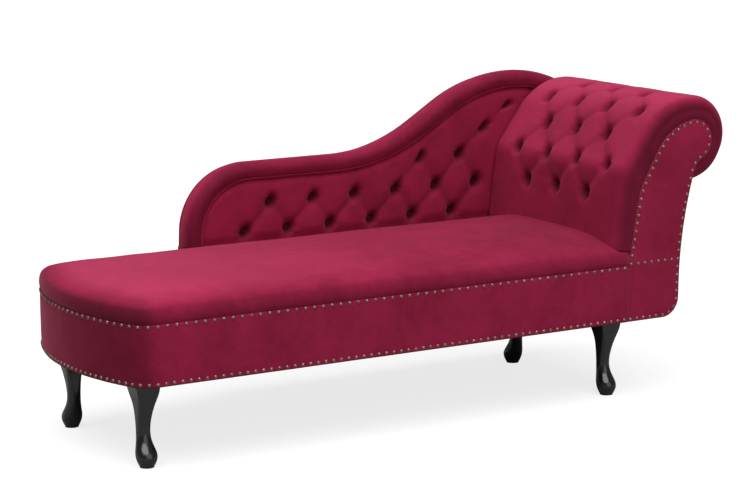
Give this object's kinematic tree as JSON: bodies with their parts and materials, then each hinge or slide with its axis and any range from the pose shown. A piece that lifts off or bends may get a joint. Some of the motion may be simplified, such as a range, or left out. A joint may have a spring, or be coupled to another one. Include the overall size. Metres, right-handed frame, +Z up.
{
  "type": "chaise longue",
  "caption": "Day bed with a bowed open foot end, one rolled arm, a swept deep-buttoned back, nail-head trim and black cabriole legs.",
  "frame": {"origin": "on the floor, under the middle of the whole piece", "axes": "+X along the length towards the rolled arm, -Y towards the open long side, +Z up"},
  "size_m": [1.7477, 0.661, 0.8],
  "materials": {
    "velvet": "crimson pile velvet, bright along folds that turn away from the eye",
    "foam": "cream upholstery foam",
    "jute": "woven jute webbing",
    "hessian": "coarse hessian cloth",
    "black_cambric": "thin black dust cover cloth",
    "black_lacquer": "turned and carved hardwood, gloss black lacquer",
    "antique_brass": "domed nail heads, dull antique brass",
    "zinc_steel": "zinc plated steel",
    "nylon": "black nylon",
    "hardboard": "brown hardboard",
    "beech": "planed beech, unfinished"
  },
  "bodies": {
    "root": {"arm_backing": "hessian", "arm_buttons": "velvet", "arm_cover": "velvet", "arm_end_cover": "velvet", "arm_end_roll": "foam", "arm_foam": "foam", "arm_front_board": "beech", "arm_front_facing": "velvet", "arm_outer_cover": "velvet", "arm_rear_board": "beech", "arm_slats": "beech", "back_border_cover": "velvet", "back_border_roll": "foam", "back_bottom_rail": "beech", "back_buttons": "velvet", "back_cover": "velvet", "back_crest_rail": "beech", "back_fixing_bolts": "zinc_steel", "back_foam": "foam", "back_foot_leg": "black_lacquer", "back_head_leg": "black_lacquer", "back_inner_posts": "beech", "back_left_post": "beech", "back_outer_board": "hardboard", "back_outer_cover": "velvet", "back_packing_rail": "beech", "back_piping": "velvet", "back_right_post": "beech", "back_seat_rail": "beech", "back_side_cover": "velvet", "back_tacking_rail": "beech", "back_webbing": "jute", "base_dust_cover": "black_cambric", "facing_outline_nails": "antique_brass", "facing_row_nails": "antique_brass", "foot_corner_blocks": "beech", "foot_end_rail": "beech", "front_foot_leg": "black_lacquer", "front_head_leg": "black_lacquer", "front_seat_rail": "beech", "head_end_rail": "beech", "leg_blocks": "beech", "leg_bolts": "zinc_steel", "leg_glides": "nylon", "leg_plates": "zinc_steel", "lower_band_nails": "antique_brass", "seat_cover": "velvet", "seat_cross_rails": "beech", "seat_deck": "hessian", "seat_foam": "foam", "seat_side_band": "velvet", "upper_band_nails": "antique_brass", "webbing_across": "jute", "webbing_along": "jute"}
  },
  "joints": []
}
